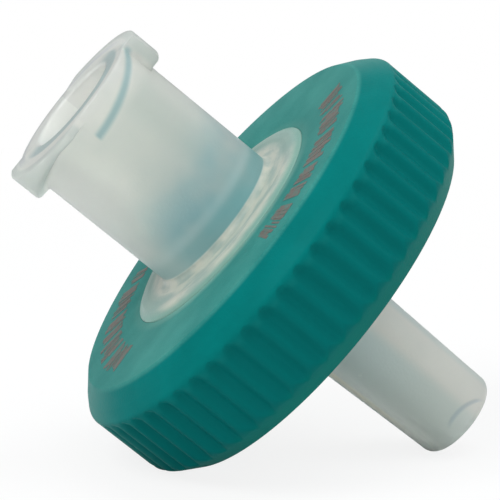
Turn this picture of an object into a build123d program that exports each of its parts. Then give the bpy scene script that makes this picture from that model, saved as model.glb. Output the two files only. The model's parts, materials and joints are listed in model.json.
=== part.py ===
"""Luer syringe filter: two moulded housing halves that pinch a membrane, sealed by an overmoulded grip ring.

Each piece is drawn upright about the Z axis: the inlet hub points up, the outlet nozzle points down, and
z = 0 is the middle of the membrane. The finished filter is then laid down as it comes to rest on a table,
on the back edge of its grip ring and the tip of its nozzle, with the nozzle towards +X. Units are millimetres.
"""

from build123d import *
import math
import os

# Grip ring, the widest piece, and its wall outside the flanges
grip_radius = 9.87
grip_thickness = 5.4
grip_wall = 1.27
shoulder_round = 1.25
back_chamfer = 1.0

# Membrane, the flange edge outside it, and the chamber it lies in
membrane_thickness = 0.15
membrane_clearance = 0.05
seal_width = 0.55
pinch_width = 0.6
chamber_depth = 0.45

# Flanges of the two housing halves, and the round windows that stay free of the grip ring
flange_thickness = 1.3
window_radius = 5.25
window_height = 0.15
window_edge_chamfer = 0.1

# Flow channels on the inner faces
port_radius = 0.9
spoke_count = 8
spoke_width = 0.6
spoke_inner_radius = 1.8
support_ring_count = 3
support_ring_inner = 1.9
support_ring_width = 0.8
drain_channel_count = 6
drain_channel_width = 0.8

# Grooves between the finger ribs of the grip ring
rib_count = 58
groove_mouth = 0.6
groove_floor = 0.12
groove_depth = 0.24
groove_start = 1.28
groove_runout_angle = 40
groove_lift = 0.1

# Inlet: female Luer hub with two slanted locking lugs
luer_half_taper = 0.03
hub_radius = 3.33
hub_height = 8.2
mouth_radius = 2.15
socket_depth = 7.5
lug_count = 2
lug_height = 0.62
lug_front_thickness = 0.08
lug_thickness = 1.4
lug_overrun = 1.1
lug_root = 0.4
lug_edge_chamfer = 0.2

# Outlet: male Luer slip nozzle
nozzle_length = 8.6
nozzle_tip_radius = 1.985
nozzle_tip_round = 0.55
nozzle_bore_radius = 1.0

os.makedirs("parts", exist_ok=True)

# Radii worked out from the driving sizes, from the rim inwards
flange_radius = grip_radius - grip_wall
pocket_radius = flange_radius - seal_width
membrane_radius = pocket_radius - membrane_clearance
chamber_radius = membrane_radius - pinch_width
support_ring_pitch = (chamber_radius - support_ring_inner) / support_ring_count
lug_radius = hub_radius + lug_height

# Heights worked out from the driving sizes
half_membrane = membrane_thickness / 2
half_grip = grip_thickness / 2
flange_top = half_membrane + flange_thickness
window_top = half_grip + window_height
rim = half_grip + hub_height
socket_floor = rim - socket_depth
socket_floor_radius = mouth_radius - luer_half_taper * socket_depth
tip = -half_grip - nozzle_length
nozzle_root_radius = nozzle_tip_radius + luer_half_taper * (nozzle_length - window_height)


# Locking lug on the inlet rim: a band whose back face slants away from the rim, ending in a flat cut
with BuildPart() as lug:
    with BuildSketch(Plane.XY.offset(rim)):
        Circle(lug_radius)
    extrude(amount=-hub_height)
    with BuildSketch(Plane.YZ):
        with BuildLine():
            Polyline(
                (-lug_radius, rim),
                (-lug_radius, rim - lug_front_thickness),
                (0, rim - lug_thickness),
                (lug_overrun, rim - lug_thickness),
                (lug_overrun, rim),
                close=True,
            )
        make_face()
    extrude(amount=-lug_radius, mode=Mode.INTERSECT)
    back_corners = lug.edges().filter_by_position(Axis.Z, rim - lug_thickness, rim - lug_front_thickness)
    chamfer(back_corners.filter_by(lambda edge: edge.geom_type != GeomType.LINE), lug_edge_chamfer)
    with BuildSketch(Plane.XY.offset(rim)):
        Circle(hub_radius - lug_root)
    extrude(amount=-hub_height, mode=Mode.SUBTRACT)

# Inlet moulding, drawn as two pieces that meet at the socket floor: first its flange, window disc and port
with BuildPart() as inlet_housing:
    with BuildSketch(Plane.XZ):
        with BuildLine():
            Polyline(
                (0, half_membrane),
                (flange_radius, half_membrane),
                (flange_radius, flange_top),
                (window_radius, flange_top),
                (window_radius, window_top),
                (hub_radius, window_top),
                (hub_radius, socket_floor),
                (0, socket_floor),
                close=True,
            )
        make_face()
    revolve(axis=Axis.Z)
    window_edges = inlet_housing.edges().filter_by(GeomType.CIRCLE).group_by(Axis.Z)[-2]
    chamfer(window_edges.sort_by(SortBy.RADIUS)[-1], window_edge_chamfer)
    # chamber over the membrane, with spokes that keep the flow paths open
    with BuildSketch(Plane.XY.offset(half_membrane)):
        Circle(chamber_radius)
        with PolarLocations((spoke_inner_radius + chamber_radius) / 2, spoke_count):
            Rectangle(chamber_radius - spoke_inner_radius, spoke_width, mode=Mode.SUBTRACT)
    extrude(amount=chamber_depth, mode=Mode.SUBTRACT)
    with BuildSketch(Plane.XY.offset(half_membrane)):
        Circle(port_radius)
    extrude(amount=socket_floor - half_membrane, mode=Mode.SUBTRACT)

# Then its female Luer hub: a tube with a tapered socket and two locking lugs
with BuildPart() as inlet_hub:
    with BuildSketch(Plane.XY.offset(socket_floor)):
        Circle(hub_radius)
    extrude(amount=rim - socket_floor)
    with PolarLocations(0, lug_count):
        add(lug.part)
    with BuildSketch(Plane.XZ):
        with BuildLine():
            Polyline(
                (0, socket_floor),
                (socket_floor_radius, socket_floor),
                (mouth_radius, rim),
                (0, rim),
                close=True,
            )
        make_face()
    revolve(axis=Axis.Z, mode=Mode.SUBTRACT)

# Outlet housing: flange, window disc and slip nozzle in one moulding
with BuildPart() as outlet_housing:
    with BuildSketch(Plane.XZ):
        with BuildLine():
            Polyline(
                (0, half_membrane),
                (flange_radius, half_membrane),
                (flange_radius, -flange_top),
                (window_radius, -flange_top),
                (window_radius, -window_top),
                (nozzle_root_radius, -window_top),
                (nozzle_tip_radius, tip),
                (0, tip),
                close=True,
            )
        make_face()
    revolve(axis=Axis.Z)
    outlet_edges = outlet_housing.edges().filter_by(GeomType.CIRCLE).group_by(Axis.Z)
    fillet(outlet_edges[0], nozzle_tip_round)
    chamfer(outlet_edges[1].sort_by(SortBy.RADIUS)[-1], window_edge_chamfer)
    # pocket that centres the membrane
    with BuildSketch(Plane.XY.offset(-half_membrane)):
        Circle(pocket_radius)
    extrude(amount=membrane_thickness, mode=Mode.SUBTRACT)
    # chamber under the membrane: round support rings crossed by drain channels
    with BuildSketch(Plane.XY.offset(-half_membrane)):
        Circle(chamber_radius)
        for ring in reversed(range(support_ring_count)):
            ring_radius = support_ring_inner + ring * support_ring_pitch
            Circle(ring_radius + support_ring_width, mode=Mode.SUBTRACT)
            Circle(ring_radius)
        with PolarLocations(chamber_radius / 2, drain_channel_count):
            Rectangle(chamber_radius, drain_channel_width)
    extrude(amount=-chamber_depth, mode=Mode.SUBTRACT)
    with BuildSketch(Plane.XY.offset(tip)):
        Circle(nozzle_bore_radius)
    extrude(amount=half_membrane - tip, mode=Mode.SUBTRACT)

# Filter membrane: a thin disc pinched between the two flanges
with BuildPart() as filter_membrane:
    with BuildSketch(Plane.XY.offset(-half_membrane)):
        Circle(membrane_radius)
    extrude(amount=membrane_thickness)

# One groove between two finger ribs: straight flanks and a narrow floor, running out of the rim at its start
groove_top = half_grip - groove_start - groove_depth / math.tan(math.radians(groove_runout_angle))
groove_outer = groove_mouth + groove_lift * (groove_mouth - groove_floor) / groove_depth
with BuildPart() as groove:
    with BuildSketch(Plane.XY.offset(groove_top)) as groove_section:
        with BuildLine():
            Polyline(
                (grip_radius - groove_depth, -groove_floor / 2),
                (grip_radius + groove_lift, -groove_outer / 2),
                (grip_radius + groove_lift, groove_outer / 2),
                (grip_radius - groove_depth, groove_floor / 2),
                close=True,
            )
        make_face()
    extrude(amount=-grip_thickness)
    runout = Vector(1, 0, 0).rotate(Axis.Y, groove_runout_angle - 90)
    extrude(groove_section.sketch, amount=4 * groove_depth, dir=runout)

# Grip ring: moulded over both flanges, ribbed for the fingers
with BuildPart() as grip_ring:
    with BuildSketch(Plane.XZ):
        with BuildLine():
            Polyline(
                (window_radius, -half_grip),
                (window_radius, half_grip),
                (grip_radius, half_grip),
                (grip_radius, back_chamfer - half_grip),
                (grip_radius - back_chamfer, -half_grip),
                close=True,
            )
        make_face()
        with Locations(((window_radius + flange_radius) / 2, 0)):
            Rectangle(flange_radius - window_radius, 2 * flange_top, mode=Mode.SUBTRACT)
    revolve(axis=Axis.Z)
    outline_edges = grip_ring.edges().filter_by(GeomType.CIRCLE)
    rim_edges = outline_edges.filter_by(lambda edge: edge.radius > flange_radius)
    fillet(rim_edges.sort_by(Axis.Z)[-1], shoulder_round)
    with PolarLocations(0, rib_count):
        add(groove.part, mode=Mode.SUBTRACT)

# Rest pose: the line under the filter runs from the back edge of the ring to the round of the tip
tip_round_height = tip + nozzle_tip_round
tip_round_centre = (
    nozzle_tip_radius
    + luer_half_taper * nozzle_tip_round
    - nozzle_tip_round / math.cos(math.atan(luer_half_taper))
)
run = back_chamfer - half_grip - tip_round_height
drop = grip_radius - tip_round_centre
tilt = math.degrees(math.atan2(drop, run) - math.asin(nozzle_tip_round / math.hypot(run, drop)))
laid_down = Rotation(0, tilt - 90, 0)

pieces = {
    "inlet_housing": inlet_housing.part,
    "inlet_hub": inlet_hub.part,
    "outlet_housing": outlet_housing.part,
    "filter_membrane": filter_membrane.part,
    "grip_ring": grip_ring.part,
}
box = Compound(children=[laid_down * piece for piece in pieces.values()]).bounding_box()
on_table = Location((-box.center().X, -box.center().Y, -box.min.Z)) * laid_down
for name, piece in pieces.items():
    placed = on_table * piece
    placed.label = name
    export_step(placed, f"parts/{name}.step")
print(f"tilt {tilt:.2f} degrees, box {box.size.X:.3f} x {box.size.Y:.3f} x {box.size.Z:.3f}")
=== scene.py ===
"""Luer syringe filter with a ribbed grip ring, lying on the ring's back edge and the tip of its nozzle.

Each piece is drawn upright in millimetres about the filter's own axis, with z = 0 in the middle of the
membrane. Its mesh is then laid down where the CAD model lies. Angles are in degrees and run from the
near side, -y, towards -x.
"""

import bmesh
import bpy
import json
import math
from mathutils import Matrix, Vector


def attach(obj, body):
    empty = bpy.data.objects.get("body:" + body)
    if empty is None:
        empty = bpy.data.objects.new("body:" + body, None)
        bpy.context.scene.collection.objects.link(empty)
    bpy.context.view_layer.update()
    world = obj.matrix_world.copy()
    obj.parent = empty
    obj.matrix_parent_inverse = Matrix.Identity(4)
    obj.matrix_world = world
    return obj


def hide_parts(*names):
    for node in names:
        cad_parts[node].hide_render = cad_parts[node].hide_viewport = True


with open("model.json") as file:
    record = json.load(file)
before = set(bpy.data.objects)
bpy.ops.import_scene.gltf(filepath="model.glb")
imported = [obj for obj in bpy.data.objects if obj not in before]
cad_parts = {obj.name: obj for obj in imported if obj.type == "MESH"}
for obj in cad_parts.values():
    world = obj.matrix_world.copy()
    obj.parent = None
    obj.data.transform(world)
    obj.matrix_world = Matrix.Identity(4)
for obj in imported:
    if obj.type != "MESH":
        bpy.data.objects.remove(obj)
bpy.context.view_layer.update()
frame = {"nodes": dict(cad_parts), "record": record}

MM = 0.001

# Sizes of the CAD model, in millimetres
grip_radius = 9.87
half_grip = 2.7
back_chamfer = 1.0
flange_radius = 8.6
pocket_radius = 8.05
chamber_radius = 7.4
flange_top = 1.375
half_membrane = 0.075
chamber_ceiling = 0.525
window_radius = 5.25
window_top = 2.85
port_radius = 0.9
socket_floor = 3.4
socket_floor_radius = 1.925
mouth_radius = 2.15
hub_radius = 3.33
rim = 10.9
lug_height = 0.62
lug_front_thickness = 0.08
lug_thickness = 1.4
lug_overrun = 1.1
nozzle_root_radius = 2.2385
nozzle_tip_radius = 1.985
nozzle_tip_round = 0.55
bore_radius = 1.0
tip = -11.3
rib_count = 58
support_ring_count = 3
support_ring_inner = 1.9
support_ring_pitch = 1.8333
support_ring_width = 0.8
drain_channel_count = 6
drain_channel_width = 0.8

# Sizes of the visual model alone, in millimetres
face_edge_radius = 8.72
face_height = half_grip - 0.04
shown_lug_height = 1.05 * lug_height
shown_lug_thickness = 1.08 * lug_thickness
least_lug_thickness = 0.36
bar_thickness = 0.012

# Corners of the low bead round a window, as rounded() takes them
window_bead = [
    (4.3, window_top, 0.3, 2),
    (4.5, window_top + 0.03, 0.3, 3),
    (4.85, window_top + 0.02, 0.5, 4),
]

# Keeps faces that would coincide this far apart, in millimetres
sliver = 0.01

# Where a lug begins and how far it leads in, then where the mesh of the two lugs is finer, in degrees
lug_start = 4
lug_lead_in = 14
lug_ends = (3, 103, 183, 283)

columns_per_rib = 16

# ------------------------------------------------------------------------------------------------
# Where the filter lies

mounts = {mount["name"]: mount for mount in frame["record"]["mounts"]}
filter_axis = Vector(mounts["inlet_rim"]["axis"]).normalized()
across = Vector((0, 1, 0))
centre = Vector(mounts["inlet_luer"]["pos_m"]) - filter_axis * (rim + socket_floor) / 2 * MM
turn = Matrix((across.cross(filter_axis), across, filter_axis)).transposed()
seat = Matrix.Translation(centre) @ turn.to_4x4() @ Matrix.Scale(MM, 4)


def around(angle, radius, height):
    """A point at this angle, in degrees from the near side towards -x."""
    a = math.radians(angle)
    return Vector((-math.sin(a) * radius, -math.cos(a) * radius, height))


# ------------------------------------------------------------------------------------------------
# Node maths

class Wire:
    """A node's output, with the usual operators."""

    def __init__(self, graph, socket):
        self.graph, self.socket = graph, socket

    def math(self, operation, *others):
        operands = dict(enumerate((self, *others)))
        return self.graph.add("ShaderNodeMath", {"operation": operation}, operands)

    def __add__(self, other):
        return self.math("ADD", other)

    def __sub__(self, other):
        return self.math("SUBTRACT", other)

    def __rsub__(self, other):
        return self.graph.add("ShaderNodeMath", {"operation": "SUBTRACT"}, {0: other, 1: self})

    def __mul__(self, other):
        return self.math("MULTIPLY", other)

    def __truediv__(self, other):
        return self.math("DIVIDE", other)

    def __pow__(self, other):
        return self.math("POWER", other)

    def __neg__(self):
        return self.math("MULTIPLY", -1.0)

    def __abs__(self):
        return self.math("ABSOLUTE")

    __radd__ = __add__
    __rmul__ = __mul__

    def lowest(self, other):
        return self.math("MINIMUM", other)

    def highest(self, other):
        return self.math("MAXIMUM", other)

    def clamped(self):
        return self.highest(0.0).lowest(1.0)

    def ramp(self, start, end):
        """0 at start, 1 at end, with a smooth step between them."""
        return self.graph.add("ShaderNodeMapRange", {"interpolation_type": "SMOOTHSTEP"},
                              {"Value": self, "From Min": start, "From Max": end})


class Graph:
    """A node tree that is filled one node at a time."""

    def __init__(self, tree):
        self.tree = tree

    def add(self, kind, settings=None, values=None, out=0):
        node = self.tree.nodes.new(kind)
        for name, value in (settings or {}).items():
            setattr(node, name, value)
        for key, value in (values or {}).items():
            socket = self.pick(node.inputs, key)
            if isinstance(value, Wire):
                self.tree.links.new(value.socket, socket)
            else:
                socket.default_value = value
        return Wire(self, self.pick(node.outputs, out))

    @staticmethod
    def pick(sockets, key):
        if isinstance(key, int):
            return sockets[key]
        return next(s for s in sockets if key in (s.identifier, s.name) and s.enabled)

    def colour(self, first, second, factor):
        """A colour that goes from first to second as factor goes from 0 to 1."""
        values = {"Factor_Float": factor, "A_Color": first, "B_Color": second}
        return self.add("ShaderNodeMix", {"data_type": "RGBA"}, values, "Result_Color")

    def xyz(self, vector):
        split = self.add("ShaderNodeSeparateXYZ", None, {0: vector})
        return [Wire(self, socket) for socket in split.socket.node.outputs]

    def noise(self, vector, scale, detail):
        return self.add("ShaderNodeTexNoise", None, {"Vector": vector, "Scale": scale, "Detail": detail})


def srgb(red, green, blue):
    """A colour given as it shows on a screen, 0 to 255."""
    def linear(value):
        value /= 255
        return value / 12.92 if value <= 0.04045 else ((value + 0.055) / 1.055) ** 2.4
    return (linear(red), linear(green), linear(blue), 1.0)


# ------------------------------------------------------------------------------------------------
# Profiles and lathe work

def rounded(corners):
    """A closed line through corners given as (r, z, corner radius, steps round it), with them rounded."""
    outline = []
    count = len(corners)
    for i, (r, z, radius, steps) in enumerate(corners):
        here = Vector((r, z))
        back = Vector(corners[i - 1][:2]) - here
        ahead = Vector(corners[(i + 1) % count][:2]) - here
        if steps == 0:
            outline.append(here)
            continue
        lengths = back.length, ahead.length
        if min(lengths) < 1e-6:
            outline += [here] * (steps + 1)
            continue
        back, ahead = back / lengths[0], ahead / lengths[1]
        half = math.acos(max(-1.0, min(1.0, back.dot(ahead)))) / 2
        reach = min(radius / math.tan(half), 0.48 * lengths[0], 0.48 * lengths[1])
        weight = math.sin(half)
        start, end = here + back * reach, here + ahead * reach
        for step in range(steps + 1):
            t = step / steps
            a, b, c = (1 - t) ** 2, 2 * t * (1 - t) * weight, t * t
            outline.append((start * a + here * b + end * c) / (a + b + c))
    return outline


def lathe(name, angles, profile_at):
    """A solid turned about the axis, whose profile may change with the angle."""
    columns = [[around(angle, p[0], p[1]) for p in profile_at(angle)] for angle in angles]
    points = [p for column in columns for p in column]
    height, width = len(columns[0]), len(columns)
    faces = []
    for i in range(width):
        j = (i + 1) % width
        for k in range(height):
            n = (k + 1) % height
            faces.append((i * height + k, i * height + n, j * height + n, j * height + k))
    mesh = bpy.data.meshes.new(name)
    mesh.from_pydata(points, [], faces)
    tidy(mesh)
    thing = bpy.data.objects.new(name, mesh)
    bpy.context.scene.collection.objects.link(thing)
    return thing


def tidy(mesh):
    """Merges doubles and turns the faces outwards."""
    distance = 1e-5
    shape = bmesh.new()
    shape.from_mesh(mesh)
    bmesh.ops.remove_doubles(shape, verts=shape.verts, dist=distance)
    bmesh.ops.dissolve_degenerate(shape, edges=shape.edges, dist=distance)
    bmesh.ops.recalc_face_normals(shape, faces=shape.faces)
    shape.to_mesh(mesh)
    shape.free()


def soften(mesh, degrees):
    """Smooth shading that keeps edges sharper than this."""
    mesh.polygons.foreach_set("use_smooth", [True] * len(mesh.polygons))
    mesh.set_sharp_from_angle(angle=math.radians(degrees))


def lay_down(thing, name, material_slot, *nodes):
    """Lays the mesh down as the filter lies, and puts it in place of its CAD nodes."""
    thing.data.transform(seat)
    thing.data.update()
    thing.name = thing.data.name = name
    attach(thing, "root")
    if nodes:
        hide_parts(*nodes)


def grown(thing, name, tree, sizes):
    """Runs a geometry tree on this object and keeps the result as a plain mesh."""
    growth = thing.modifiers.new(name, "NODES")
    growth.node_group = tree
    inputs = [item for item in tree.interface.items_tree if item.in_out == "INPUT"]
    sockets = {item.name: item.identifier for item in inputs}
    for label, value in sizes.items():
        growth[sockets[label]] = value
    bpy.context.view_layer.update()
    evaluated = thing.evaluated_get(bpy.context.evaluated_depsgraph_get())
    mesh = bpy.data.meshes.new_from_object(evaluated)
    mesh.name = name
    bpy.data.objects.remove(thing)
    grown_thing = bpy.data.objects.new(name, mesh)
    bpy.context.scene.collection.objects.link(grown_thing)
    return grown_thing


def geometry_tree(name, sizes):
    """An empty geometry tree with these named inputs; gives its graph and its inputs by name."""
    tree = bpy.data.node_groups.new(name, "GeometryNodeTree")
    tree.interface.new_socket("Geometry", in_out="INPUT", socket_type="NodeSocketGeometry")
    tree.interface.new_socket("Geometry", in_out="OUTPUT", socket_type="NodeSocketGeometry")
    for label, value in sizes.items():
        kind = "NodeSocketInt" if isinstance(value, int) else "NodeSocketFloat"
        tree.interface.new_socket(label, in_out="INPUT", socket_type=kind).default_value = value
    graph = Graph(tree)
    entry = graph.add("NodeGroupInput").socket.node
    wires = {socket.name: Wire(graph, socket) for socket in entry.outputs if socket.name}
    return graph, wires


def finish_tree(graph, geometry, material):
    """Every tree ends alike: real geometry, then its material."""
    real = graph.add("GeometryNodeRealizeInstances", None, {0: geometry})
    painted = graph.add("GeometryNodeSetMaterial", None, {"Geometry": real, "Material": material})
    exit_node = graph.tree.nodes.new("NodeGroupOutput")
    graph.tree.links.new(painted.socket, exit_node.inputs[0])


# ------------------------------------------------------------------------------------------------
# Materials

def new_material(name):
    material = bpy.data.materials.new(name)
    material.use_nodes = True
    material.node_tree.nodes.clear()
    return material, Graph(material.node_tree)


def upright_position(graph):
    """A point on the upright filter, in millimetres: as a vector, then its radius, angle and height."""
    lying = graph.add("ShaderNodeTexCoord", None, None, "Object")
    seating = {"Vector": lying, "Location": centre, "Rotation": turn.to_euler(), "Scale": (MM, MM, MM)}
    vector = graph.add("ShaderNodeMapping", {"vector_type": "TEXTURE"}, seating)
    x, y, z = graph.xyz(vector)
    radius = (x * x + y * y).math("SQRT")
    angle = (-x).math("ARCTAN2", -y) * (180 / math.pi)
    return vector, radius, angle, z


def surface(graph, shader):
    output = graph.tree.nodes.new("ShaderNodeOutputMaterial")
    graph.tree.links.new(shader.socket, output.inputs["Surface"])


def teal_overmould():
    """Dyed grip ring: satin, greener on its back; painted sheen makes its flat face paler, painted shade
    darkens its side and grooves, with painted highlights and sheen on the crests.
    """
    material, graph = new_material("teal_overmould_satin")
    vector, radius, angle, height = upright_position(graph)
    cloud = graph.noise(vector, 0.5, 3.0)
    grain = graph.noise(vector, 9.0, 2.0)
    colour = graph.colour(srgb(0, 106, 103), srgb(0, 114, 111), (cloud - 0.3) * 2.2)
    # painted shade: the ribbed side darker than the face, less so on the upper side where the light falls
    side = 1 - height.ramp(half_grip - 1.7, half_grip - 0.9)
    upper_lit_side = 1 - angle.ramp(-80, -38)
    colour = graph.colour(colour, srgb(0, 95, 93), side * (0.8 - upper_lit_side * 0.5))

    # painted shade in the grooves, from their depth, weaker towards the back and on the upper side
    groove = graph.add("ShaderNodeAttribute", {"attribute_name": "groove"}, None, "Fac")
    fading = 0.55 + height.ramp(-2.2, -0.4) * 0.45
    shade = (groove + (grain - 0.5) * 0.25).ramp(0.3, 0.95) * fading * side * (1 - upper_lit_side * 0.45)
    colour = graph.colour(colour, srgb(0, 38, 34), shade.clamped())

    between_grooves = abs((angle * (rib_count / 360)).math("FRACT") - 0.5)
    crest = between_grooves.ramp(0.2, 0.45) * band(height, -0.1, 1.2, 0.5)
    # painted highlight: pale specks where the crests begin, stronger on the upper side
    crest_highlight = band(height, 1.32, 0.02, 0.3) * crest
    colour = graph.colour(colour, srgb(50, 140, 132), crest_highlight * (0.08 + upper_lit_side * 0.22))
    # painted sheen: a grey shine at the two sides a quarter turn from the near side, on the shoulder and
    # crests, not in the grooves
    grazing_sheen = abs(angle + 4).ramp(64, 92) * (1 - groove.ramp(0.2, 0.9))
    sheen_here = (height.ramp(1.0, 1.6) * 0.6 + crest * 0.5 + 0.1).clamped()
    colour = graph.colour(colour, srgb(66, 134, 128), grazing_sheen * sheen_here)

    # painted sheen: the flat face paler and greyer than the side
    face = graph.colour(srgb(40, 120, 115), srgb(66, 142, 134), (grain * 0.4 + cloud * 0.6 - 0.3) * 2.4)
    # painted light: a pale glow on the face round the window, strongest on the near side
    near_window = 1 - radius.ramp(window_radius + 0.08, window_radius + 0.6)
    halo = near_window * (1 - abs(angle - 6).ramp(30, 80) * 0.8)
    face = graph.colour(face, srgb(132, 172, 160), halo * 0.62)
    colour = graph.colour(colour, face, height.ramp(half_grip - 0.2, half_grip - 0.06))

    back_edge = back_chamfer - half_grip
    back = 1 - height.ramp(back_edge - 0.6, back_edge + 0.15)
    colour = graph.colour(colour, srgb(0, 112, 100), back * (0.3 + cloud * 0.6))
    roughness = 0.46 + (grain - 0.5) * 0.12
    bump = graph.add("ShaderNodeBump", None, {"Strength": 0.15, "Distance": 0.00006, "Height": grain})
    shader = graph.add("ShaderNodeBsdfPrincipled", None,
                       {"Base Color": colour, "Roughness": roughness, "Normal": bump, "IOR": 1.5,
                        "Subsurface Weight": 0.12, "Subsurface Scale": 0.0005,
                        "Subsurface Radius": (0.4, 1.0, 0.9), "Specular IOR Level": 0.03})
    surface(graph, shader)
    return material


def band(value, middle, half_width, softness):
    """1 where value is within half_width of middle, fading out over softness."""
    return 1 - abs(value - middle).ramp(half_width, half_width + softness)


def witness_line(angle, height):
    """The hairline behind each lug: level at its thin end, then rising to the rim along the thread."""
    turned = ((angle + 140) / 180).math("FRACT") * 180 - 140
    depth = 1.18 - ((8 - turned).highest(0.0) / 82) ** 1.6
    across_line = band(height, rim - depth, 0.03, 0.26)
    return across_line * turned.ramp(-84, -66) * (1 - turned.ramp(5.5, 8.0))


def window_disc(graph, radius, angle):
    """The round window that the ring leaves free: cream, streaked by the flow, greener at its rim, with
    painted see-through colour making it greener away from the near side.
    """
    spread = graph.add("ShaderNodeCombineXYZ", None, {0: radius * 2.0, 1: angle * 0.05, 2: 0.0})
    streaks = graph.noise(spread, 1.0, 3.0).ramp(0.36, 0.66)
    cream = graph.colour(srgb(186, 190, 177), srgb(152, 169, 161), streaks)
    # painted see-through colour: greener on the outer part away from the near side
    end = abs(angle).ramp(50, 76) * radius.ramp(window_radius - 1.4, window_radius - 0.8)
    cream = graph.colour(cream, srgb(126, 160, 151), end * 0.85)
    at_rim = radius.ramp(window_radius - 0.42, window_radius - 0.06)
    return graph.colour(cream, srgb(112, 158, 146), at_rim * 0.9)


def inlet_tints(graph, place, colour):
    """Teal of the ring painted as it shows through the hub's foot, the hairlines behind the lugs, painted
    shade at the rim's edges and down one side with the other side painted paler, a painted glint, the pale
    window disc.
    """
    vector, radius, angle, height = place
    outside = radius.ramp(hub_radius - 0.35, hub_radius - 0.15)
    on_wall = outside * (1 - radius.ramp(hub_radius + 0.08, hub_radius + 0.3))
    line = witness_line(angle, height) * on_wall
    near_side = 1 - abs(angle + 12).ramp(80, 112)
    # painted shade: blue-grey round the mouth on the near side, and on the rim's outer edge on the far side
    mouth_shade = band(radius, mouth_radius + 0.42, 0.2, 0.25) * height.ramp(rim - 0.4, rim - 0.12) * near_side
    outer_rim_shade = band(radius, hub_radius - 0.1, 0.1, 0.2) * height.ramp(rim - 0.2, rim - 0.05) * (1 - near_side)
    patch = graph.noise(vector, 0.38, 2.0)
    # painted: the ring's teal as it shows through the wall, in a band at the hub's foot and in soft patches
    # above it, fainter on the lit side
    low = 1 - height.ramp(4.2, 7.6)
    teal_through_patches = low * (patch * 2.4 - 0.5).clamped() * (1 - angle.ramp(20, 60) * 0.7)
    foot = 1 - height.ramp(3.5, 5.0)
    glint = band(height, 4.1, 0.02, 0.35) * outside
    on_hub = height.ramp(3.04, 3.16)
    # painted shade: a darker streak at -38 degrees and the side at negative angles darker, fading out near
    # the rim
    shade_streak = band(angle, -38, 4, 20) * 0.45 + (1 - angle.ramp(0, 30)) * 0.4
    shade_streak = (shade_streak * (1 - height.ramp(9.2, 10.2))).clamped()
    on_lug = radius.ramp(hub_radius + 0.1, hub_radius + 0.35)
    for tint, amount in (
        # painted light: the side at positive angles paler
        (srgb(250, 253, 243), angle.ramp(8, 50) * 0.9),
        (srgb(204, 213, 206), shade_streak),
        (srgb(206, 218, 211), on_lug * 0.7),
        (srgb(140, 190, 196), (teal_through_patches * on_hub * 0.85).clamped()),
        (srgb(108, 159, 160), foot * on_hub * (0.85 - angle.ramp(10, 50) * 0.2)),
        (srgb(206, 222, 220), glint * 0.22),
        (srgb(134, 178, 184), (line * 0.8).clamped()),
        (srgb(158, 188, 190), (mouth_shade * 0.8).clamped()),
        (srgb(190, 196, 206), (outer_rim_shade * 0.5).clamped()),
    ):
        colour = graph.colour(colour, tint, amount)
    window = 1 - on_hub
    solid = (window * 0.95 + foot * on_hub * 0.6 + teal_through_patches * on_hub * 0.2).clamped()
    return graph.colour(colour, window_disc(graph, radius, angle), window), line, solid


def outlet_tints(graph, place, colour):
    """Painted light and shade on the nozzle: a lighter highlight stripe along the top with painted shade
    beside it, teal-grey near the root, a paler lower side and a bright line by its edge, and the tip's far
    edge painted as it shows through.
    """
    _, radius, angle, height = place
    on_nozzle = 1 - height.ramp(-3.1, -2.95)
    near_ring = height.ramp(-10.5, -3.0)
    outside_highlight = angle.ramp(-24, -6) * (1 - angle.ramp(30, 75) * 0.8) + (1 - angle.ramp(-72, -56))
    # painted: the tip's far edge as it shows through the wall, an arc on the near side
    lip = tip + 1.02 - (angle / 47) ** 2
    seen_through = band(height, lip, 0.02, 0.15) * angle.ramp(-42, -30) * (1 - angle.ramp(4, 22))
    glow = band(angle, 69, 3, 8) * height.ramp(-10.2, -7.5) * on_nozzle
    for tint, amount in (
        # painted shade: the whole nozzle a little darker
        (srgb(216, 216, 208), on_nozzle * 0.6),
        # painted light: the lower side paler
        (srgb(252, 254, 248), on_nozzle * angle.ramp(38, 72) * 0.9),
        # painted highlight: the stripe along the top keeps the pale colour while painted shade greys the
        # rest, teal-grey toward the ring
        (srgb(206, 218, 212), (outside_highlight * on_nozzle * 0.75).clamped()),
        (srgb(190, 211, 212), near_ring * outside_highlight.lowest(1.0) * 0.6),
        (srgb(150, 172, 184), seen_through * 0.5),
        # painted light: a bright cream line inside the lower edge
        (srgb(255, 250, 228), glow * 0.9),
    ):
        colour = graph.colour(colour, tint, amount)
    window = 1 - on_nozzle
    return graph.colour(colour, window_disc(graph, radius, angle), window), seen_through, 0.3 + window * 0.6


def natural_plastic(name, tints):
    """Undyed moulding: milky, lets light through, slightly frosted, more solid where the ring backs it."""
    material, graph = new_material(name)
    place = upright_position(graph)
    vector = place[0]
    cloud = graph.noise(vector, 0.6, 3.0)
    grain = graph.noise(vector, 7.0, 3.0)
    colour = graph.colour(srgb(240, 240, 232), srgb(226, 231, 225), (cloud - 0.3) * 2.0)
    colour, line, solid = tints(graph, place, colour)
    relief = grain - line * 2.5
    roughness = 0.36 + (grain - 0.5) * 0.16
    bump = graph.add("ShaderNodeBump", None, {"Strength": 0.2, "Distance": 0.00005, "Height": relief})
    common = {"Base Color": colour, "Roughness": roughness, "Normal": bump, "IOR": 1.49,
              "Subsurface Radius": (1.0, 1.0, 1.0)}
    milky = graph.add("ShaderNodeBsdfPrincipled", None,
                      {**common, "Transmission Weight": 0.55,
                       "Subsurface Weight": 0.8, "Subsurface Scale": 0.003})
    opaque = graph.add("ShaderNodeBsdfPrincipled", None,
                       {**common, "Specular IOR Level": 0.3,
                        "Subsurface Weight": 0.3, "Subsurface Scale": 0.0006})
    surface(graph, graph.add("ShaderNodeMixShader", None, {0: solid, 1: milky, 2: opaque}))
    return material


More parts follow.
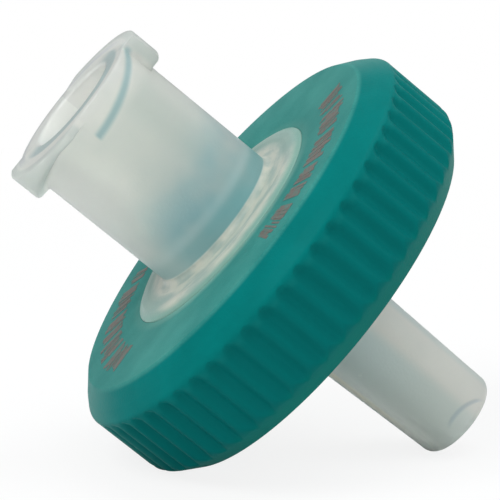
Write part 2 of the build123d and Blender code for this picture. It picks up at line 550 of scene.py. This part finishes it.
def membrane_sheet():
    """White porous sheet."""
    material, graph = new_material("membrane_sheet")
    vector = upright_position(graph)[0]
    grain = graph.noise(vector, 14.0, 3.0)
    colour = graph.colour(srgb(236, 236, 230), srgb(222, 223, 216), grain)
    bump = graph.add("ShaderNodeBump", None, {"Strength": 0.2, "Distance": 0.00003, "Height": grain})
    shader = graph.add("ShaderNodeBsdfPrincipled", None,
                       {"Base Color": colour, "Roughness": 0.8, "Normal": bump})
    surface(graph, shader)
    return material


def print_ink():
    """Thin grey-brown ink, worn in places."""
    material, graph = new_material("print_ink")
    vector = upright_position(graph)[0]
    wear = graph.noise(vector, 5.0, 3.0)
    colour = graph.colour(srgb(104, 94, 88), srgb(78, 112, 105), wear.ramp(0.46, 0.7))
    shader = graph.add("ShaderNodeBsdfPrincipled", None, {"Base Color": colour, "Roughness": 0.55})
    surface(graph, shader)
    return material


teal = teal_overmould()
natural_inlet = natural_plastic("natural_polypropylene_inlet", inlet_tints)
natural_outlet = natural_plastic("natural_polypropylene_outlet", outlet_tints)
sheet_white = membrane_sheet()
ink = print_ink()

# ------------------------------------------------------------------------------------------------
# Grip ring: a lathe-turned blank that a geometry tree cuts the finger grooves into

def ring_blank():
    """The ring before its grooves, with a fine mesh where they run out of the shoulder."""
    outer, inner = grip_radius, window_radius + 0.004
    lip = flange_top + 0.02
    profile = rounded([
        (inner, lip, 0.05, 2),
        (inner, face_height, 0.03, 2),
        (face_edge_radius, face_height, 0.05, 2),
        (outer - 0.42, half_grip - 0.62, 0.35, 5),
        (outer, half_grip - 1.05, 0.4, 6),
        (outer, back_chamfer - half_grip, 0.8, 7),
        (outer - back_chamfer, -half_grip, 0.22, 5),
        (inner, -half_grip, 0.12, 3),
        (inner, -lip, 0.05, 2),
        (flange_radius + 0.02, -lip, 0, 0),
        (flange_radius + 0.02, lip, 0, 0),
    ])
    coarse, medium, fine = 10, 0.22, 0.07
    outline = []
    for start, end in zip(profile, profile[1:] + profile[:1]):
        middle = (start + end) / 2
        if middle[0] < flange_radius + 0.1:
            spacing = coarse
        else:
            spacing = fine if middle[1] > 0.6 else medium
        steps = max(1, round((end - start).length / spacing))
        outline += [start + (end - start) * i / steps for i in range(steps)]
    columns = rib_count * columns_per_rib
    return lathe("ring_blank", [360 * i / columns for i in range(columns)], lambda angle: outline)


def groove_tree(sizes):
    """Cuts the grooves: soft valleys that run out under the shoulder and go through the back."""
    graph, size = geometry_tree("finger_grooves", sizes)
    position = graph.add("GeometryNodeInputPosition")
    x, y, z = graph.xyz(position)
    radius = (x * x + y * y).math("SQRT")
    turns = x.math("ARCTAN2", y) / (2 * math.pi) + 0.25
    phase = abs((turns * size["Ribs"] + 0.5).math("FRACT") - 0.5)
    valley = (phase / size["Valley width"]).lowest(1.0)
    shape = (valley * math.pi).math("COSINE") * 0.5 + 0.5
    rise = (z - size["Start"]).highest(0.0) * size["Run-out"]
    cut = (shape * size["Depth"] - rise).highest(0.0)
    wall = grip_radius - cut
    new_radius = radius.math("SMOOTH_MIN", wall, 0.06)
    outside = radius.math("GREATER_THAN", flange_radius + 0.1)
    factor = 1 + (new_radius / radius - 1) * outside
    moved = graph.add("ShaderNodeCombineXYZ", None, {0: x * factor, 1: y * factor, 2: z})
    shaped = graph.add("GeometryNodeSetPosition", None, {"Geometry": size["Geometry"], "Position": moved})
    depth = ((radius - new_radius) / size["Depth"]).clamped() * outside
    stored = graph.add("GeometryNodeStoreNamedAttribute", {"data_type": "FLOAT", "domain": "POINT"},
                       {"Geometry": shaped, "Name": "groove", "Value": depth})
    finish_tree(graph, stored, teal)
    return graph.tree


def make_ring():
    sizes = {"Ribs": float(rib_count), "Depth": 0.23, "Valley width": 0.5,
             "Start": half_grip - 1.1 - 0.26, "Run-out": 0.84}
    ring = grown(ring_blank(), "grip_ring_ribbed", groove_tree(sizes), sizes)
    soften(ring.data, 50)
    lay_down(ring, "grip_ring_ribbed", "teal_overmould", "grip_ring")


# ------------------------------------------------------------------------------------------------
# Inlet housing: hub with two slanted locking lugs, window disc and flange

def lug_size(angle):
    """(height, thickness) of the locking lug at this angle; nothing between the lugs."""
    a = (angle + 40) % 180 - 40
    rising = min(1.0, max(0.0, (a - lug_start) / lug_lead_in))
    slant = math.cos(math.radians(min(max(a, 0), 90)))
    thickness = shown_lug_thickness - (lug_thickness - lug_front_thickness) * slant
    height = shown_lug_height * rising * rising * (3 - 2 * rising)
    if a > 90:
        reach = lug_overrun / math.sin(math.radians(a - 90))
        height = min(height, reach - hub_radius + 0.02)
    return max(0.0, height), thickness


def inlet_profile(angle):
    """Section of the inlet moulding at this angle, with the lug's height and thickness there."""
    height, thickness = lug_size(angle)
    thickness = max(thickness, least_lug_thickness)
    out = hub_radius + height
    back = min(0.2, thickness * 0.4, height * 0.5)
    return rounded([
        (port_radius, chamber_ceiling, 0.05, 2),
        (port_radius, socket_floor, 0.12, 3),
        (socket_floor_radius, socket_floor, 0.3, 4),
        (mouth_radius, rim, 0.16, 5),
        (out, rim, 0.09, 4),
        (out, rim - thickness, back, 5),
        (hub_radius, rim - thickness - 0.04, 0.08, 3),
        (hub_radius, rim - 2.2, 0, 0),
        (hub_radius, window_top, 0.27, 5),
        *window_bead,
        (window_radius, half_grip - sliver, 0.08, 3),
        (window_radius, flange_top, 0.03, 1),
        (flange_radius, flange_top, 0.05, 1),
        (flange_radius, half_membrane + sliver, 0.05, 1),
        (chamber_radius, half_membrane + sliver, 0.05, 1),
        (chamber_radius, chamber_ceiling, 0.1, 1),
    ])


def make_inlet():
    """Turned in steps of a degree, and of a quarter where a lug begins or ends."""
    angles = [i * 1.0 for i in range(360)]
    for start in lug_ends:
        angles += [start + 0.25 * i for i in range(1, 28) if i % 4]
    angles = sorted(set(angle % 360 for angle in angles))
    inlet = lathe("inlet", angles, inlet_profile)
    inlet.data.materials.append(natural_inlet)
    soften(inlet.data, 38)
    lay_down(inlet, "inlet_moulding", "natural_polypropylene", "inlet_housing", "inlet_hub")


# ------------------------------------------------------------------------------------------------
# Outlet housing: slip nozzle, window disc, flange and the support rings under the membrane

def outlet_profile(angle):
    """Section of the outlet moulding at this angle; drain channels cross its support rings."""
    teeth = []
    spacing = 360 / drain_channel_count
    off = math.radians((angle + spacing / 2) % spacing - spacing / 2)
    for ring in reversed(range(support_ring_count)):
        inner = support_ring_inner + ring * support_ring_pitch
        outer = inner + support_ring_width
        crossed = abs(math.sin(off)) * (inner + support_ring_width / 2) < drain_channel_width / 2
        crest = -chamber_ceiling if crossed else -half_membrane - sliver
        teeth += [(outer, -chamber_ceiling, 0.05, 1), (outer, crest + 0.001, 0.05, 1),
                  (inner, crest + 0.001, 0.05, 1), (inner, -chamber_ceiling, 0.05, 1)]
    return rounded([
        (flange_radius, half_membrane - sliver, 0.05, 1),
        (flange_radius, -flange_top, 0.05, 1),
        (window_radius, -flange_top, 0.03, 1),
        (window_radius, -half_grip + sliver, 0.08, 3),
        *[(r, -z, radius, steps) for r, z, radius, steps in reversed(window_bead)],
        (nozzle_root_radius, -window_top, 0.28, 5),
        (nozzle_tip_radius + 0.03, tip + 1.2, 0, 0),
        (nozzle_tip_radius, tip, nozzle_tip_round, 8),
        (bore_radius, tip, 0.1, 3),
        (bore_radius, -chamber_ceiling, 0.05, 2),
        *reversed(teeth),
        (chamber_radius, -chamber_ceiling, 0.05, 1),
        (chamber_radius, -half_membrane - sliver, 0.05, 1),
        (pocket_radius, -half_membrane - sliver, 0.03, 1),
        (pocket_radius, half_membrane - sliver, 0.03, 1),
    ])


def make_outlet():
    outlet = lathe("outlet", [i * 1.0 for i in range(360)], outlet_profile)
    outlet.data.materials.append(natural_outlet)
    soften(outlet.data, 38)
    lay_down(outlet, "outlet_moulding", "natural_polypropylene", "outlet_housing")


# ------------------------------------------------------------------------------------------------
# Print on the face of the ring: two rows of plain bars

def bar_tree(sizes):
    """Bars along an arc, each pointing at the axis, uneven in width and length, with gaps between groups."""
    graph, size = geometry_tree("printed_bars", sizes)
    number = graph.add("GeometryNodeInputIndex")

    def chance(low, high, salt):
        values = {"Min": low, "Max": high, "ID": number, "Seed": size["Seed"] + salt}
        return graph.add("FunctionNodeRandomValue", {"data_type": "FLOAT"}, values, "Value")

    row = graph.add("GeometryNodeMeshLine", None, {"Count": size["Bars"]})
    angle = size["First angle"] + (number + chance(-0.18, 0.18, 0)) * size["Pitch"]
    turned = angle * (math.pi / 180)
    long, wide = chance(0.6, 1.0, 1), chance(0.6, 1.5, 2)
    reach = size["Inner radius"] + size["Length"] * (long / 2 + (1 - long) * chance(0.0, 1.0, 4))
    x, y = -turned.math("SINE") * reach, -turned.math("COSINE") * reach
    spot = graph.add("ShaderNodeCombineXYZ", None, {0: x, 1: y, 2: size["Height"]})
    spots = graph.add("GeometryNodeSetPosition", None, {"Geometry": row, "Position": spot})
    bar = graph.add("GeometryNodeMeshCube", None, {"Size": (1.0, 1.0, bar_thickness)}, "Mesh")
    spin = graph.add("ShaderNodeCombineXYZ", None, {0: 0.0, 1: 0.0, 2: y.math("ARCTAN2", x)})
    scale = graph.add("ShaderNodeCombineXYZ", None,
                      {0: size["Length"] * long, 1: size["Width"] * wide, 2: 1.0})
    group_gap = (number / size["Group"]).math("FRACT").math("LESS_THAN", 0.1)
    gap = group_gap + chance(0.0, 1.0, 3).math("LESS_THAN", 0.06)
    bars = graph.add("GeometryNodeInstanceOnPoints", None,
                     {"Points": spots, "Instance": bar, "Rotation": spin, "Scale": scale,
                      "Selection": gap.math("LESS_THAN", 0.5)})
    finish_tree(graph, bars, ink)
    return graph.tree


def make_print():
    sizes = {"Bars": 60, "First angle": -87.0, "Pitch": 1.38, "Inner radius": 6.4, "Length": 1.5,
             "Width": 0.14, "Height": half_grip - 0.035, "Group": 12.0, "Seed": 4}
    far_sizes = {"Bars": 54, "First angle": 74.0, "Seed": 11}
    tree = bar_tree(sizes)
    for side, changed in {"near": {}, "far": far_sizes}.items():
        sheet = bpy.data.objects.new("print", bpy.data.meshes.new("print"))
        bpy.context.scene.collection.objects.link(sheet)
        marks = grown(sheet, "printed_bars_" + side, tree, {**sizes, **changed})
        lay_down(marks, "printed_bars_" + side, "teal_overmould")


# ------------------------------------------------------------------------------------------------

make_ring()
make_inlet()
make_outlet()
make_print()
membrane = frame["nodes"]["filter_membrane"]
membrane.data.materials.clear()
membrane.data.materials.append(sheet_white)

# ------------------------------------------------------------------------------------------------
# Table, daylight, camera

def table():
    """A pale matt floor that fades to plain white away from the filter."""
    bpy.ops.mesh.primitive_plane_add(size=3.0, location=(0, 0, 0))
    top = bpy.context.object
    top.name = "table_top"
    material, graph = new_material("table_white")
    shade = graph.add("ShaderNodeBsdfDiffuse", None, {"Color": (0.82, 0.83, 0.83, 1), "Roughness": 0.4})
    glow = graph.add("ShaderNodeEmission", None, {"Color": (1, 1, 1, 1), "Strength": 1.0})
    seen = graph.add("ShaderNodeLightPath", None, None, "Is Camera Ray")
    x, y, _ = graph.xyz(graph.add("ShaderNodeTexCoord", None, None, "Object"))
    away = (x * x + y * y).math("SQRT").ramp(0.015, 0.11)
    lit = seen * (0.84 + away * 0.16)
    surface(graph, graph.add("ShaderNodeMixShader", None, {0: lit, 1: shade, 2: glow}))
    top.data.materials.append(material)


def daylight():
    """Soft white room light; the camera and light through the plastic see plain white."""
    world = bpy.data.worlds.new("studio")
    bpy.context.scene.world = world
    world.use_nodes = True
    world.node_tree.nodes.clear()
    graph = Graph(world.node_tree)
    room = graph.add("ShaderNodeBackground", None, {"Color": (0.97, 0.98, 1.0, 1), "Strength": 0.6})
    white = graph.add("ShaderNodeBackground", None, {"Color": (1, 1, 1, 1), "Strength": 1.0})
    path = graph.add("ShaderNodeLightPath").socket.node.outputs
    direct = Wire(graph, path["Is Camera Ray"]).highest(Wire(graph, path["Is Transmission Ray"]))
    mixed = graph.add("ShaderNodeMixShader", None, {0: direct, 1: room, 2: white})
    output = graph.tree.nodes.new("ShaderNodeOutputWorld")
    graph.tree.links.new(mixed.socket, output.inputs["Surface"])


def lamp(name, place, size, power):
    """A round area lamp that faces the filter."""
    light = bpy.data.lights.new(name, "AREA")
    light.shape = "DISK"
    light.size = size
    light.energy = power
    thing = bpy.data.objects.new(name, light)
    thing.location = place
    thing.rotation_euler = (centre - Vector(place)).to_track_quat("-Z", "Y").to_euler()
    bpy.context.scene.collection.objects.link(thing)


def camera():
    """A long lens square to the filter's axis but for 14 degrees, which show the inlet side."""
    data = bpy.data.cameras.new("camera")
    data.sensor_width = 36
    data.lens = 198.7
    data.clip_start = 0.005
    data.clip_end = 10
    thing = bpy.data.objects.new("camera", data)
    # given on the upright filter, as its sizes are
    place = seat @ Vector((-0.0471, -114.4117, 30.0797))
    back = (turn @ Vector((0.0, -0.96902, 0.2470))).normalized()
    right = turn @ Vector((0.62932, -0.19195, -0.75307))
    up = back.cross(right).normalized()
    aim = Matrix((up.cross(back), up, back)).transposed()
    thing.matrix_world = Matrix.Translation(place) @ aim.to_4x4()
    bpy.context.scene.collection.objects.link(thing)
    bpy.context.scene.camera = thing


table()
daylight()
lamp("window_left", place=(-0.16, -0.14, 0.22), size=0.16, power=0.40)
lamp("overhead", place=(0.11, -0.02, 0.28), size=0.24, power=0.37)
lamp("right_fill", place=(0.22, -0.16, 0.12), size=0.16, power=0.04)
lamp("front_fill", place=(-0.04, -0.30, 0.03), size=0.20, power=0.10)
camera()

bpy.context.scene.view_settings.view_transform = "Standard"
bpy.context.view_layer.update()
